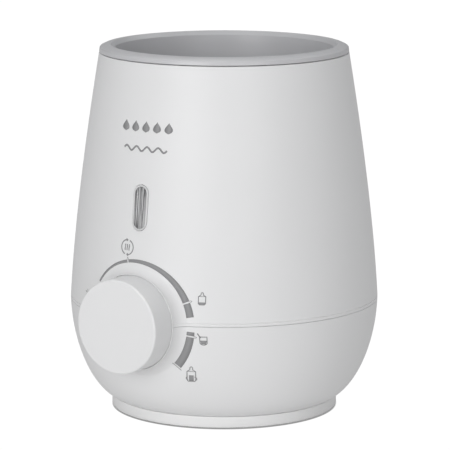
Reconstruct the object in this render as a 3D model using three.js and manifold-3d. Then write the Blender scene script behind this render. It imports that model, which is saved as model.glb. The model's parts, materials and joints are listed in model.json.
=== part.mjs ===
// Bottle warmer: a round body in two casings, a rimmed well over a heating plate, and a front knob.
// Units are millimetres, with +Z up and the knob facing -Y.

import * as THREE from "three";
import { mergeVertices } from "three/addons/utils/BufferGeometryUtils.js";
import Module from "manifold-3d";

const wasm = await Module();
wasm.setup();

// ---- Driving dimensions ----

const bodyRadius = 64.25; // widest, at the seam
const topRadius = 51.7; // upper casing under the rim
const baseRadius = 47.2; // ring that the body stands on
const overallHeight = 152; // crest of the rim
const seamHeight = 46.1; // parting plane of the casings, and the knob's axis
const knobReach = 77; // knob face in front of the body's axis
const knobRadius = 19.2;
const wall = 2.5; // thickness of the casings
const gap = 0.3; // between pieces that touch
const wellRadius = 45.8; // mouth of the well
const seatHeight = 42; // heating plate above the ground
const cordRadius = 3.2; // mains cord that the gland takes

// ---- Derived dimensions ----

const rimUnderside = overallHeight - 2.7;
const casingTop = rimUnderside - gap;
const ringBottom = 0.5; // base ring above the ground that the feet stand on
const casingBottom = 5.3;
const bandHeight = 1.2; // slightly recessed band along the upper casing's bottom edge
const bandDepth = 0.2;
const bandTop = seamHeight + bandHeight;
const upperBottom = seamHeight + gap / 2;
const lowerTop = seamHeight - gap / 2;
const tongueRadius = 61; // lower casing's tongue inside the upper casing
const tongueTop = seamHeight + 4.5;
const collarReach = 65.8; // front edge of the knob's collar
const collarBore = knobRadius + 0.35;
const webFront = 61.8; // wall of the collar behind the knob
const webBack = webFront - 2;
const webHole = 8;
const knobBack = webFront + 1.5;
const boardFront = 49.5; // control board, in front of the body's axis
const boardBack = boardFront - 1.6;
const bracketFront = 57.3; // carrier of the rotary control
const bracketBack = bracketFront - 1.2;
const windowHeight = 92.1; // middle of the indicator window
const windowReach = 59.85; // body surface there
const windowSlope = 0.115; // lean of the body surface there, in radians
const windowWidth = 7.3;
const windowTall = 18.6;
const plateRadius = 32.5; // heating plate with its flange
const floorHole = 29; // opening in the well's floor
const floorUnderside = seatHeight - 2;
const plateUnderside = seatHeight - 2;
const plateSide = 2; // thickness of the plate's upright side
const flangeTop = floorUnderside - 2.4;
const flangeUnderside = flangeTop - 1.5;
const bracketTop = flangeUnderside - gap; // clamp ring under the heating plate
const bracketUnderside = bracketTop - 1.5;
const postRadius = 38.6; // circle of the well's legs and bosses
const legBottom = 26;
const pillarTop = legBottom - gap;
const coverTop = 4.2; // base cover's plate
const coverUnderside = 2;
const counterboreTop = 9.7;
const powerBoardUnderside = 12;
const powerBoardTop = powerBoardUnderside + 1.6;
const glandHeight = 18;
const glandFace = 59.4; // flat face of the boss that the gland sits in
const clampMiddle = 38; // cord clamp behind the body's axis
const clampPostTop = 14;
const clampBarTop = clampPostTop + gap + 3;
const fullTurn = 2 * Math.PI;
const roundSteps = 36;
const smallSteps = 16;
const screwSteps = 10;
const wireSides = 6;
const screwHole = 1.7; // radius that a small screw passes through freely
const screwPilot = 1.4; // radius that a small screw cuts its thread in
const beyond = 80; // reach of a cutting block past the body

// ---- Geometry helpers ----

const at = (x, y) => new THREE.Vector2(x, y);
const pairs = (points) => points.map((p) => [p.x, p.y]);

// Drops all but the positions, so that shared vertices merge into one closed surface.
function closed(geometry) {
  const bare = geometry.clone();
  bare.deleteAttribute("normal");
  bare.deleteAttribute("uv");
  return mergeVertices(bare, 1e-4);
}

function solidOf(geometry) {
  const merged = closed(geometry);
  return new wasm.Manifold(
    new wasm.Mesh({
      numProp: 3,
      vertProperties: merged.attributes.position.array,
      triVerts: new Uint32Array(merged.index.array),
    }),
  );
}

function geometryOf(solid) {
  const mesh = solid.getMesh();
  const geometry = new THREE.BufferGeometry();
  geometry.setAttribute("position", new THREE.BufferAttribute(mesh.vertProperties, 3));
  geometry.setIndex(new THREE.BufferAttribute(mesh.triVerts, 1));
  return geometry;
}

function join(first, ...others) {
  return geometryOf(others.reduce((solid, other) => solid.add(solidOf(other)), solidOf(first)));
}

function cut(first, ...tools) {
  return geometryOf(tools.reduce((solid, tool) => solid.subtract(solidOf(tool)), solidOf(first)));
}

// Runs a closed outline of [radius, height] round the Z axis; the outline turns anticlockwise.
function turned(outline, steps = roundSteps) {
  const points = outline.map(([radius, height]) => at(radius, height));
  if (outline[0][0] > 0) {
    points.push(points[0].clone());
  }
  return new THREE.LatheGeometry(points, steps).rotateX(Math.PI / 2);
}

function disc(radius, bottom, top, steps = smallSteps) {
  return turned([[0, bottom], [radius, bottom], [radius, top], [0, top]], steps);
}

function ring(inner, outer, bottom, top, steps = smallSteps) {
  return turned([[inner, bottom], [outer, bottom], [outer, top], [inner, top]], steps);
}

// A box by its lowest and highest corners.
function block(low, high) {
  const size = high.map((value, i) => value - low[i]);
  const middle = high.map((value, i) => (value + low[i]) / 2);
  return new THREE.BoxGeometry(...size).translate(...middle);
}

function extruded(shape, bottom, top, curveSegments = 8) {
  const settings = { depth: top - bottom, bevelEnabled: false, curveSegments };
  return new THREE.ExtrudeGeometry(shape, settings).translate(0, 0, bottom);
}

function circle(radius) {
  return new THREE.Shape().absarc(0, 0, radius, 0, fullTurn);
}

// A flat-sided outline with round ends, taller than it is wide.
function stadium(width, height) {
  const r = width / 2;
  const straight = height / 2 - r;
  const shape = new THREE.Shape();
  shape.absarc(0, straight, r, 0, Math.PI);
  shape.absarc(0, -straight, r, Math.PI, fullTurn);
  return shape;
}

// A tube of a few sides through points in space.
function tube(points, radius, steps, tension = 0.4) {
  const route = points.map((p) => new THREE.Vector3(...p));
  const path = new THREE.CatmullRomCurve3(route, false, "catmullrom", tension);
  const settings = { steps, bevelEnabled: false, extrudePath: path, curveSegments: wireSides / 2 };
  return new THREE.ExtrudeGeometry(circle(radius), settings);
}

// A pan-head screw on the Z axis: its head hangs below the origin and its shank rises above it.
function screw(headRadius, headHeight, shankRadius, length) {
  return turned(
    [
      [0, -headHeight],
      [headRadius * 0.75, -headHeight],
      [headRadius, -headHeight * 0.5],
      [headRadius, 0],
      [shankRadius, 0],
      [shankRadius, length - shankRadius],
      [0, length],
    ],
    screwSteps,
  );
}

// A point on a circle round the body's axis; the angle turns from the front towards +X.
function around(radius, degrees) {
  const angle = THREE.MathUtils.degToRad(degrees);
  return [radius * Math.sin(angle), -radius * Math.cos(angle)];
}

// Turns geometry built with +Z as its front so that it faces -Y at the knob's height.
function facing(geometry) {
  return geometry.rotateX(Math.PI / 2).translate(0, 0, seamHeight);
}

// Outline of a shell: a curve going up, and the same curve set in by the wall coming down.
function shellOutline(curve, steps) {
  const outside = curve.getPoints(steps);
  const inside = outside.map((point, i) => {
    const tangent = curve.getTangent(i / steps);
    return at(point.x - wall * tangent.y, point.y + wall * tangent.x);
  });
  return [...pairs(outside), ...pairs(inside.reverse())];
}

// ---- Materials ----

function material(color, roughness, metalness = 0) {
  return new THREE.MeshStandardMaterial({ color, roughness, metalness });
}

const materials = {
  whiteShell: () => material(0xe6e6e7, 0.45),
  greyWell: () => material(0xb9babf, 0.4),
  knobWhite: () => material(0xebebec, 0.4),
  clearLens: () => material(0xc9ccce, 0.15),
  innerPlastic: () => material(0x2f3133, 0.6),
  whiteInner: () => material(0xd9d8d2, 0.6),
  rubber: () => material(0x3a3b3d, 0.9),
  silicone: () => material(0xb4552d, 0.8),
  aluminium: () => material(0xb4b6b8, 0.35, 1),
  steel: () => material(0x9fa1a4, 0.35, 1),
  brass: () => material(0xb99a5b, 0.4, 1),
  board: () => material(0x2f6b3c, 0.6),
  redWire: () => material(0xa8352c, 0.55),
  blueWire: () => material(0x33508f, 0.55),
};

// ---- Casings ----

// Collar that the knob turns in: a flared ring with a web behind the knob.
function collar() {
  const lip = 0.8;
  const flare = new THREE.QuadraticBezierCurve(
    at(26.5, 58.2),
    at(20.9, 60.5),
    at(collarBore + lip, collarReach - gap),
  );
  return facing(
    turned([
      [webHole, webBack],
      [collarBore, webBack],
      [22.5, 57.4],
      ...pairs(flare.getPoints(4)),
      [collarBore + gap, collarReach],
      [collarBore, collarReach - gap],
      [collarBore, webFront],
      [webHole, webFront],
    ]),
  );
}

// Space in front of the collar's web, and the hole through the web.
function collarPocket() {
  const front = collarReach + 10;
  return facing(
    turned([
      [0, webBack - 5],
      [webHole, webBack - 5],
      [webHole, webFront],
      [collarBore, webFront],
      [collarBore, front],
      [0, front],
    ]),
  );
}

// A round post along the front axis, from one distance to another in front of the body's axis.
function frontPost(x, height, radius, from, to) {
  return facing(disc(radius, from, to, screwSteps).translate(x, height - seamHeight, 0));
}

const boardScrewX = 15;
const boardScrewHeight = 78;
const bracketScrewX = 13;
const bracketScrewHeight = 62;

function upperCasing() {
  const curve = new THREE.QuadraticBezierCurve(
    at(bodyRadius, bandTop),
    at(61.94, 87),
    at(topRadius, casingTop),
  );
  const shell = turned([
    [bodyRadius - wall, upperBottom],
    [bodyRadius - bandDepth, upperBottom],
    [bodyRadius - bandDepth, bandTop],
    ...shellOutline(curve, 5),
  ]);
  const posts = [-1, 1].flatMap((side) => [
    frontPost(side * boardScrewX, boardScrewHeight, 3, boardFront + gap, 58),
    frontPost(side * bracketScrewX, bracketScrewHeight, 2.8, bracketFront + gap, 60.5),
  ]);
  const holes = [-1, 1].flatMap((side) => [
    frontPost(side * boardScrewX, boardScrewHeight, screwPilot, boardFront - 1, 56.5),
    frontPost(side * bracketScrewX, bracketScrewHeight, screwPilot, bracketFront - 1, 59.8),
  ]);
  const below = block([-beyond, -beyond, 0], [beyond, beyond, upperBottom]);
  return cut(join(shell, collar(), ...posts), collarPocket(), windowPlug(0, -6, 6), below, ...holes);
}

// A plug with the indicator window's outline, set in all round, along the slope of the casing.
function windowPlug(inset, back, front) {
  const shape = stadium(windowWidth - 2 * inset, windowTall - 2 * inset);
  return extruded(shape, back, front, 6)
    .rotateX(Math.PI / 2 - windowSlope)
    .translate(0, -windowReach, windowHeight);
}

function lowerCasing() {
  const curve = new THREE.CubicBezierCurve(
    at(baseRadius + 0.2, casingBottom),
    at(56.6, 10.2),
    at(63.7, 27.7),
    at(bodyRadius, lowerTop),
  );
  const outline = shellOutline(curve, 6);
  const footing = [outline[0][0] - wall, casingBottom];
  const outsideCount = outline.length / 2;
  const tongueThickness = 1.2;
  const tongue = [
    [tongueRadius, lowerTop],
    [tongueRadius, tongueTop],
    [tongueRadius - tongueThickness, tongueTop],
    [tongueRadius - tongueThickness, seamHeight - 3],
  ];
  const shell = turned([
    ...outline.slice(0, outsideCount),
    ...tongue,
    ...outline.slice(outsideCount + 1),
    footing,
  ]);
  const boss = disc(8.5, 50, glandFace);
  const bore = disc(cordRadius + 1.8, 40, glandFace + 10);
  const spotFace = disc(7.5, glandFace, glandFace + 10);
  for (const piece of [boss, bore, spotFace]) {
    piece.rotateX(-Math.PI / 2).translate(0, 0, glandHeight);
  }
  const above = block([-27, -beyond, lowerTop], [27, -50, 90]);
  return cut(join(shell, collar(), boss), collarPocket(), bore, spotFace, above);
}

// ---- Base ----

const pillarAngles = [0, 120, 240];
const footAngles = [45, 135, 225, 315];
const footCircle = 38.5;
const clampPostX = 9;
const boardPostPlaces = [[-19, -2], [19, 28]];

function baseCover() {
  const spigotRadius = 44.2; // rib that centres the cover in the lower casing's mouth
  const spigotTop = 8;
  const plate = turned([
    [0, coverUnderside],
    [baseRadius - wall, coverUnderside],
    [baseRadius - wall, ringBottom],
    [baseRadius, ringBottom],
    [baseRadius, casingBottom - gap],
    [spigotRadius, casingBottom - gap],
    [spigotRadius - 0.4, spigotTop],
    [spigotRadius - 1.9, spigotTop],
    [spigotRadius - 1.9, coverTop],
    [0, coverTop],
  ]);
  const pillars = pillarAngles.map((angle) =>
    disc(4.6, coverTop - 1, pillarTop).translate(...around(postRadius, angle), 0),
  );
  const boardPosts = boardPostPlaces.map(([x, y]) =>
    disc(3, coverTop - 1, powerBoardUnderside - gap, screwSteps).translate(x, y, 0),
  );
  const clampPosts = [-1, 1].map((side) =>
    disc(3, coverTop - 1, clampPostTop, screwSteps).translate(side * clampPostX, clampMiddle, 0),
  );
  const bores = pillarAngles.map((angle) =>
    join(
      disc(3.5, 0, counterboreTop, screwSteps),
      disc(2, counterboreTop - 1, pillarTop + 1, screwSteps),
    ).translate(...around(postRadius, angle), 0),
  );
  const footHoles = footAngles.map((angle) =>
    disc(2.2, 0, coverTop + 1, screwSteps).translate(...around(footCircle, angle), 0),
  );
  const pilots = [
    ...boardPostPlaces.map(([x, y]) => disc(screwPilot, 7, 13, screwSteps).translate(x, y, 0)),
    ...[-1, 1].map((side) =>
      disc(screwPilot, 7, 15, screwSteps).translate(side * clampPostX, clampMiddle, 0),
    ),
  ];
  const solid = join(plate, ...pillars, ...boardPosts, ...clampPosts);
  return cut(solid, ...bores, ...footHoles, ...pilots);
}

function rubberFoot() {
  return turned(
    [
      [0, 0],
      [4.6, 0],
      [5.2, 0.5],
      [5.2, coverUnderside - gap],
      [1.9, coverUnderside - gap],
      [1.9, coverTop + gap],
      [2.7, coverTop + gap],
      [1.2, coverTop + 2],
      [0, coverTop + 2],
    ],
    smallSteps,
  );
}

// ---- Well and heater ----

const bossAngles = [60, 180, 300];

function well() {
  const floorEdge = 40.6;
  const shell = turned([
    [floorHole, floorUnderside],
    [floorEdge + 1, floorUnderside],
    [floorEdge + 2.2, floorUnderside + 3],
    [wellRadius + 1.6, overallHeight - 8],
    [topRadius - wall - 0.8, overallHeight - 8],
    [topRadius - wall - 0.6, rimUnderside + 0.4],
    [topRadius - wall + 0.1, rimUnderside],
    [topRadius, rimUnderside],
    [topRadius - 0.2, overallHeight - 1],
    [topRadius - 0.9, overallHeight - 0.2],
    [topRadius - 1.9, overallHeight],
    [topRadius - 2.6, overallHeight - 0.3],
    [wellRadius + 0.6, overallHeight - 1.9],
    [wellRadius, overallHeight - 2.5],
    [floorEdge, seatHeight + 5],
    [floorEdge - 1.2, seatHeight + 1.5],
    [floorEdge - 4.4, seatHeight],
    [floorHole, seatHeight],
  ]);
  const legs = pillarAngles.map((angle) =>
    disc(3.3, legBottom, floorUnderside + 1, screwSteps).translate(...around(postRadius, angle), 0),
  );
  const bosses = bossAngles.map((angle) =>
    disc(3.3, flangeUnderside, floorUnderside + 1, screwSteps).translate(...around(postRadius, angle), 0),
  );
  const legPilots = pillarAngles.map((angle) =>
    disc(1.9, legBottom - 1, floorUnderside - 0.5, screwSteps).translate(...around(postRadius, angle), 0),
  );
  const bossPilots = bossAngles.map((angle) =>
    disc(1.5, flangeUnderside - 1, floorUnderside + 0.5, screwSteps).translate(
      ...around(postRadius, angle),
      0,
    ),
  );
  return cut(join(shell, ...legs, ...bosses), ...legPilots, ...bossPilots);
}

// A shallow pressed cup whose flange is clamped under the well's floor.
function heatingPlate() {
  const raised = floorHole - gap;
  return turned([
    [0, plateUnderside],
    [raised - plateSide, plateUnderside],
    [raised - plateSide, flangeUnderside],
    [plateRadius, flangeUnderside],
    [plateRadius, flangeTop],
    [raised, flangeTop],
    [raised, seatHeight],
    [raised - 0.6, seatHeight + 0.3],
    [0, seatHeight + 0.3],
  ]);
}

function plateSeal() {
  return ring(floorHole + gap, plateRadius, flangeTop + gap, floorUnderside - gap, 36);
}

const elementRadius = 20;
const elementTube = 2.7;
const elementHeight = plateUnderside - gap - elementTube;
const elementGap = 20; // degrees either side of +X that the element leaves open
const terminalBottom = 29;

// An open ring of sheathed tube whose two ends turn down as terminals.
function heaterElement() {
  const steps = 16;
  const points = [];
  for (let i = 0; i <= steps; i += 1) {
    const degrees = 90 + elementGap + ((360 - 2 * elementGap) * i) / steps;
    points.push([...around(elementRadius, degrees), elementHeight]);
  }
  return tube(points, elementTube, 24, 0.5);
}

function terminalPlace(side) {
  return around(elementRadius, 90 + side * elementGap);
}

function heaterPins() {
  return [-1, 1].map((side) =>
    disc(1.6, terminalBottom, elementHeight, screwSteps).translate(...terminalPlace(side), 0),
  );
}

function heaterBracket() {
  const raisedInside = floorHole - gap - plateSide - 1.2;
  const clampRing = ring(raisedInside, plateRadius + 1, bracketUnderside, bracketTop, 36);
  const arms = bossAngles.map((angle) => {
    const turn = THREE.MathUtils.degToRad(angle);
    const outer = postRadius + 3.4;
    const inner = plateRadius - 2;
    return block([-4.5, -outer, bracketUnderside], [4.5, -inner, bracketTop]).rotateZ(turn);
  });
  const holes = bossAngles.map((angle) =>
    disc(screwHole, bracketUnderside - 1, bracketTop + 1, screwSteps).translate(
      ...around(postRadius, angle),
      0,
    ),
  );
  return cut(join(clampRing, ...arms), ...holes);
}

const fuseAndSensorHeight = plateUnderside - gap - 2;
const thermostatBody = 6.4;

function thermostat() {
  const top = plateUnderside - gap;
  const shell = join(disc(thermostatBody, 28.5, top), disc(8, top - 5, top));
  const blades = [-3.5, 3.5].map((x) => block([x - 0.4, -3, 24], [x + 0.4, 3, 29]));
  return join(shell, ...blades);
}

// A strip across the clamp ring that presses the thermostat against the plate.
function thermostatClip() {
  const reach = plateRadius - 1.5;
  const top = bracketUnderside - gap;
  const strip = block([-9, -reach, top - 1], [9, reach, top]);
  return cut(strip, disc(thermostatBody + gap, top - 3, top + 1));
}

// Two leads rise from the terminal block into the element's pins.
function heaterLead(side) {
  const [x, y] = terminalPlace(side);
  const mouth = [terminalX, terminalMiddle + side * terminalPitch];
  const points = [
    [...mouth, powerBoardTop + 5],
    [...mouth, powerBoardTop + 10],
    [x, y, terminalBottom - 2],
    [x, y, terminalBottom - gap],
  ];
  return tube(points, 1.2, 9);
}

function sensorLead() {
  return tube(
    [
      [-4.6, -11, fuseAndSensorHeight],
      [-8.5, -11, fuseAndSensorHeight - 0.6],
      [-10.9, -10.5, 33.5],
      [-11.5, -9, 26],
      [-14, -4.5, 18],
      [-15, -3, powerBoardTop + gap],
    ],
    0.8,
    14,
  );
}

// Sleeved lead from the power board to the back of the control board.
function controlLead() {
  return tube(
    [
      [-10, -3.5, powerBoardTop + gap],
      [-10, -4.5, 18],
      [-10, -12, 21],
      [-10, -30, 22],
      [-10, -40, 28],
      [-10, -44, 36.5],
      [-10, gap - boardBack + 1.5, 38.5],
      [-10, gap - boardBack, 38.5],
    ],
    1.4,
    18,
  );
}

function thermalFuse() {
  return turned(
    [[0, -6], [0.6, -6], [0.6, -4.5], [1.9, -4], [1.9, 4], [0.6, 4.5], [0.6, 6], [0, 6]],
    screwSteps,
  );
}

function temperatureSensor() {
  return turned([[0, -4], [1.6, -4], [1.6, 3], [0.8, 4], [0, 4]], screwSteps);
}

// ---- Knob and control ----

const shaftRadius = 3;
const shaftFront = knobReach - 3.4;

// A cup with a hub: the hub's blind bore takes the shaft.
function knob() {
  const hubRadius = 5.6;
  const side = 2;
  const edge = 1.1; // rounding between the face and the side
  const corner = new THREE.EllipseCurve(
    knobRadius - edge,
    knobReach - edge,
    edge,
    edge,
    0,
    Math.PI / 2,
  );
  return facing(
    turned([
      [shaftRadius + gap, knobBack],
      [hubRadius, knobBack],
      [hubRadius, knobReach - 2],
      [knobRadius - side, knobReach - 2.6],
      [knobRadius - side, knobBack],
      [knobRadius, knobBack],
      ...pairs(corner.getPoints(4)),
      [0, knobReach],
      [0, shaftFront + gap],
      [shaftRadius + gap, shaftFront + gap],
    ]),
  );
}

// A split spring band that squeezes the knob's hub onto the shaft.
function knobClip() {
  const band = new THREE.Shape();
  const open = 0.35;
  band.absarc(0, 0, 6.6, open, fullTurn - open);
  band.absarc(0, 0, 5.9, fullTurn - open, open, true);
  return facing(extruded(band, knobBack + 1.5, knobBack + 5.5, 16));
}

const rotorRadius = 5.6;
const controlBack = boardFront + gap;
const controlFront = bracketBack - gap;
const bushingRadius = 3.7;

function controlShaft() {
  const rotorBack = controlBack + 0.5;
  const shaft = turned(
    [
      [0, rotorBack],
      [rotorRadius, rotorBack],
      [rotorRadius, rotorBack + 2.5],
      [shaftRadius, rotorBack + 2.5],
      [shaftRadius, shaftFront - 0.5],
      [shaftRadius - 0.5, shaftFront],
      [0, shaftFront],
    ],
    16,
  );
  const flat = block([-4, shaftRadius * 0.5, knobBack], [4, 4, shaftFront + 1]);
  return facing(cut(shaft, flat));
}

// Body of the rotary control: open at the back over its rotor, with a bushing for the shaft.
function rotaryControl() {
  const bushingFront = webBack + 0.4;
  const housing = turned(
    [
      [rotorRadius + 0.6, controlBack],
      [8, controlBack],
      [8, controlFront],
      [bushingRadius, controlFront],
      [bushingRadius, bushingFront],
      [shaftRadius + 0.12, bushingFront],
      [shaftRadius + 0.12, controlFront - 1.6],
      [rotorRadius + 0.6, controlFront - 1.6],
    ],
    16,
  );
  return facing(housing);
}

function controlWasher() {
  return facing(ring(bushingRadius + gap, 6.5, bracketFront + gap, bracketFront + 0.9));
}

function controlNut() {
  const nutBack = bracketFront + 1.2;
  const nutFront = nutBack + 1.6;
  const hexagon = disc(6, nutBack, nutFront, 6);
  return facing(cut(hexagon, disc(bushingRadius + gap, nutBack - 1, nutFront + 1)));
}

function controlBracket() {
  const half = 15.5;
  const plate = block([-half, -11, bracketBack], [half, 19.5, bracketFront]);
  const hole = disc(bushingRadius + gap, bracketBack - 1, bracketFront + 1);
  const screwHoles = [-1, 1].map((side) =>
    disc(screwHole, bracketBack - 1, bracketFront + 1, screwSteps).translate(
      side * bracketScrewX,
      bracketScrewHeight - seamHeight,
      0,
    ),
  );
  return facing(cut(plate, hole, ...screwHoles));
}

function controlBoard() {
  const half = 20;
  const plate = block([-half, -12, boardBack], [half, 56, boardFront]);
  const holes = [-1, 1].map((side) =>
    disc(screwHole, boardBack - 1, boardFront + 1, screwSteps).translate(
      side * boardScrewX,
      boardScrewHeight - seamHeight,
      0,
    ),
  );
  return facing(cut(plate, ...holes));
}

// ---- Indicator ----

function indicatorLens() {
  const depth = 3.4;
  const proud = 0.4;
  return windowPlug(gap, -depth, proud);
}

function lightGuide() {
  const halfTall = 7;
  return block([-2.5, -55.6, windowHeight - halfTall], [2.5, -52, windowHeight + halfTall]);
}

function indicatorLed() {
  const base = block([-1.7, -(boardFront + 1), -1.4], [1.7, -(boardFront + gap), 1.4]);
  const dome = disc(1.1, boardFront + 0.8, boardFront + 1.9, screwSteps).rotateX(Math.PI / 2);
  return join(base, dome).translate(0, 0, windowHeight);
}

// ---- Power board ----

function powerBoard() {
  const plate = block([-23, -6, powerBoardUnderside], [23, 32, powerBoardTop]);
  const holes = boardPostPlaces.map(([x, y]) =>
    disc(screwHole, powerBoardUnderside - 1, powerBoardTop + 1, screwSteps).translate(x, y, 0),
  );
  return cut(plate, ...holes);
}

const partBottom = powerBoardTop + gap;
const terminalX = 16;
const terminalMiddle = 3;
const terminalPitch = 3;
const leadMouth = 1.7;

function relay() {
  return block([-19, 14, partBottom], [-4, 30, partBottom + 12]);
}

function filmCapacitor() {
  return block([1, 20, partBottom], [14, 26, partBottom + 10]);
}

function smoothingCapacitor() {
  return disc(4, partBottom, partBottom + 9).translate(-9, 4, 0);
}

function boardFuse() {
  const body = disc(1.8, -7, 7, screwSteps).rotateY(Math.PI / 2);
  return body.translate(8, 16, partBottom + 1.8);
}

function terminalBlock() {
  const body = block([terminalX - 5, -4, partBottom], [terminalX + 5, 10, partBottom + 9]);
  const mouths = [-1, 1].map((side) =>
    disc(leadMouth, partBottom + 4, partBottom + 12, screwSteps).translate(
      terminalX,
      terminalMiddle + side * terminalPitch,
      0,
    ),
  );
  return cut(body, ...mouths);
}

// ---- Cord entry ----

// A bush with a flange on each side of the casing's wall, on the Z axis with its mouth upwards.
function cordGland() {
  const neck = cordRadius + 1.5;
  return turned(
    [
      [cordRadius, 47.5],
      [neck + 1.8, 47.5],
      [neck + 1.8, 49.7],
      [neck, 49.7],
      [neck, glandFace + gap],
      [neck + 1.8, glandFace + gap],
      [neck + 1.3, glandFace + 2],
      [cordRadius + 0.6, glandFace + 4.2],
      [cordRadius, glandFace + 4.2],
    ],
    16,
  )
    .rotateX(-Math.PI / 2)
    .translate(0, 0, glandHeight);
}

// A bridge over the cord's path, screwed to two posts.
function cordClamp() {
  const half = 3.5; // of its length along the cord
  const across = 5.5; // half of the width over the cord
  const under = 11.2; // underside of the strip below the cord
  const pathRadius = cordRadius + 0.4;
  const span = (x0, z0, x1, z1) => block([x0, clampMiddle - half, z0], [x1, clampMiddle + half, z1]);
  const bar = span(-clampPostX - 3.2, clampPostTop + gap, clampPostX + 3.2, clampBarTop);
  const hump = span(-across, 15, across, 23.5);
  const path = disc(pathRadius, clampMiddle - 10, clampMiddle + 10, screwSteps)
    .rotateX(-Math.PI / 2)
    .translate(0, 0, glandHeight);
  const mouth = block(
    [-pathRadius, clampMiddle - 10, 10],
    [pathRadius, clampMiddle + 10, glandHeight],
  );
  const holes = [-1, 1].map((side) =>
    disc(screwHole, 10, 20, screwSteps).translate(side * clampPostX, clampMiddle, 0),
  );
  const arch = cut(join(bar, hump), path, mouth, ...holes);
  const strip = span(-across, under, across, under + 2);
  const legs = [-1, 1].map((side) => span(side * 4.6 - 0.9, under, side * 4.6 + 0.9, 15));
  return join(arch, strip, ...legs);
}

// ---- Assembly ----

const bottleWarmer = new THREE.Group();
bottleWarmer.name = "bottle_warmer";

// The body's axis stands behind the origin, so that the whole object is centred over it.
const body = new THREE.Group();
body.position.y = (knobReach - bodyRadius) / 2;
bottleWarmer.add(body);

function place(name, geometry, finish, position = [0, 0, 0]) {
  const mesh = new THREE.Mesh(closed(geometry), finish());
  mesh.name = name;
  mesh.position.set(...position);
  body.add(mesh);
  return mesh;
}

place("upper_casing", upperCasing(), materials.whiteShell);
place("lower_casing", lowerCasing(), materials.whiteShell);
place("base_cover", baseCover(), materials.whiteShell);
footAngles.forEach((angle, i) => {
  place(`rubber_foot_${i + 1}`, rubberFoot(), materials.rubber, [...around(footCircle, angle), 0]);
});
pillarAngles.forEach((angle, i) => {
  const tieScrew = screw(3.1, 2.2, 1.6, 28);
  place(`tie_screw_${i + 1}`, tieScrew, materials.steel, [
    ...around(postRadius, angle),
    counterboreTop - gap,
  ]);
});

place("well", well(), materials.greyWell);
place("heating_plate", heatingPlate(), materials.aluminium);
place("plate_seal", plateSeal(), materials.silicone);
place("heater_element", join(heaterElement(), ...heaterPins()), materials.steel);
place("heater_bracket", heaterBracket(), materials.steel);
bossAngles.forEach((angle, i) => {
  const bracketScrew = screw(2.8, 1.8, 1.2, 6.2);
  place(`bracket_screw_${i + 1}`, bracketScrew, materials.steel, [
    ...around(postRadius, angle),
    bracketUnderside - gap,
  ]);
});
place("thermostat", thermostat(), materials.innerPlastic);
place("thermostat_clip", thermostatClip(), materials.steel);
place("thermal_fuse", thermalFuse().rotateY(Math.PI / 2), materials.whiteInner, [
  0,
  13,
  fuseAndSensorHeight,
]);
place("temperature_sensor", temperatureSensor().rotateY(Math.PI / 2), materials.innerPlastic, [
  0,
  -11,
  fuseAndSensorHeight,
]);

place("knob", knob(), materials.knobWhite);
place("knob_clip", knobClip(), materials.steel);
place("control_shaft", controlShaft(), materials.steel);
place("rotary_control", rotaryControl(), materials.innerPlastic);
place("control_washer", controlWasher(), materials.steel);
place("control_nut", controlNut(), materials.brass);
place("control_bracket", controlBracket(), materials.steel);
place("control_board", controlBoard(), materials.board);
[-1, 1].forEach((side, i) => {
  const controlScrew = screw(2.4, 1.5, 1.1, 3).rotateX(Math.PI / 2);
  place(`control_screw_${i + 1}`, controlScrew, materials.steel, [
    side * bracketScrewX,
    -(bracketBack - gap),
    bracketScrewHeight,
  ]);
  const boardScrew = screw(2.8, 1.6, 1.1, 5.5).rotateX(Math.PI / 2);
  place(`board_screw_${i + 1}`, boardScrew, materials.steel, [
    side * boardScrewX,
    -(boardBack - gap),
    boardScrewHeight,
  ]);
});

place("indicator_lens", indicatorLens(), materials.clearLens);
place("light_guide", lightGuide(), materials.clearLens);
place("indicator_led", indicatorLed(), materials.whiteInner);

place("power_board", powerBoard(), materials.board);
place("relay", relay(), materials.innerPlastic);
place("film_capacitor", filmCapacitor(), materials.silicone);
place("smoothing_capacitor", smoothingCapacitor(), materials.innerPlastic);
place("board_fuse", boardFuse(), materials.whiteInner);
place("terminal_block", terminalBlock(), materials.whiteInner);

place("heater_lead_1", heaterLead(-1), materials.redWire);
place("heater_lead_2", heaterLead(1), materials.blueWire);
place("sensor_lead", sensorLead(), materials.innerPlastic);
place("control_lead", controlLead(), materials.innerPlastic);

place("cord_gland", cordGland(), materials.rubber);
place("cord_clamp", cordClamp(), materials.whiteInner);
[-1, 1].forEach((side, i) => {
  const down = screw(2.8, 1.6, 1.1, 7).rotateX(Math.PI);
  place(`clamp_screw_${i + 1}`, down, materials.steel, [
    side * clampPostX,
    clampMiddle,
    clampBarTop + gap,
  ]);
});

export default bottleWarmer;
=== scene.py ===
# Looks of the bottle warmer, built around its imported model.
import json
import math

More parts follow.
